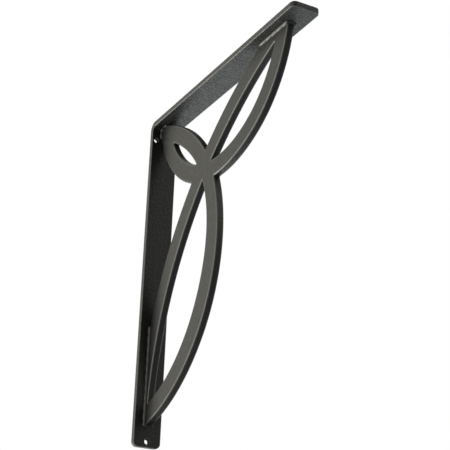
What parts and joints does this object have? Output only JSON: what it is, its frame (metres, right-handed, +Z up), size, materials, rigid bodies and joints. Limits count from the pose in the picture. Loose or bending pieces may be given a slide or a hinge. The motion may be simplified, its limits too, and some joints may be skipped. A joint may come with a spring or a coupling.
{
  "type": "wrought iron bracket",
  "caption": "Right-angle shelf bracket: a flat steel bar bent square, braced by a leaf-loop scroll cut from plate and welded in, with screw holes in the wall leg.",
  "frame": {"origin": "middle of the wall leg's back face, the plane that lies against the wall", "axes": "+Y into the wall, -Y out along the shelf leg, +Z up, +X across the bar to the right seen from the room"},
  "size_m": [0.0254, 0.254, 0.3048],
  "materials": {
    "bar_coat": "charcoal fine-textured powder coat, satin",
    "plate_coat": "charcoal fine-textured powder coat, satin",
    "weld_coat": "charcoal powder coat over fillet welds"
  },
  "bodies": {
    "root": {"bent_bar": "bar_coat", "scroll_plate": "plate_coat", "wall_weld": "weld_coat", "shelf_weld": "weld_coat", "corner_weld_left": "weld_coat", "corner_weld_right": "weld_coat"}
  },
  "joints": []
}
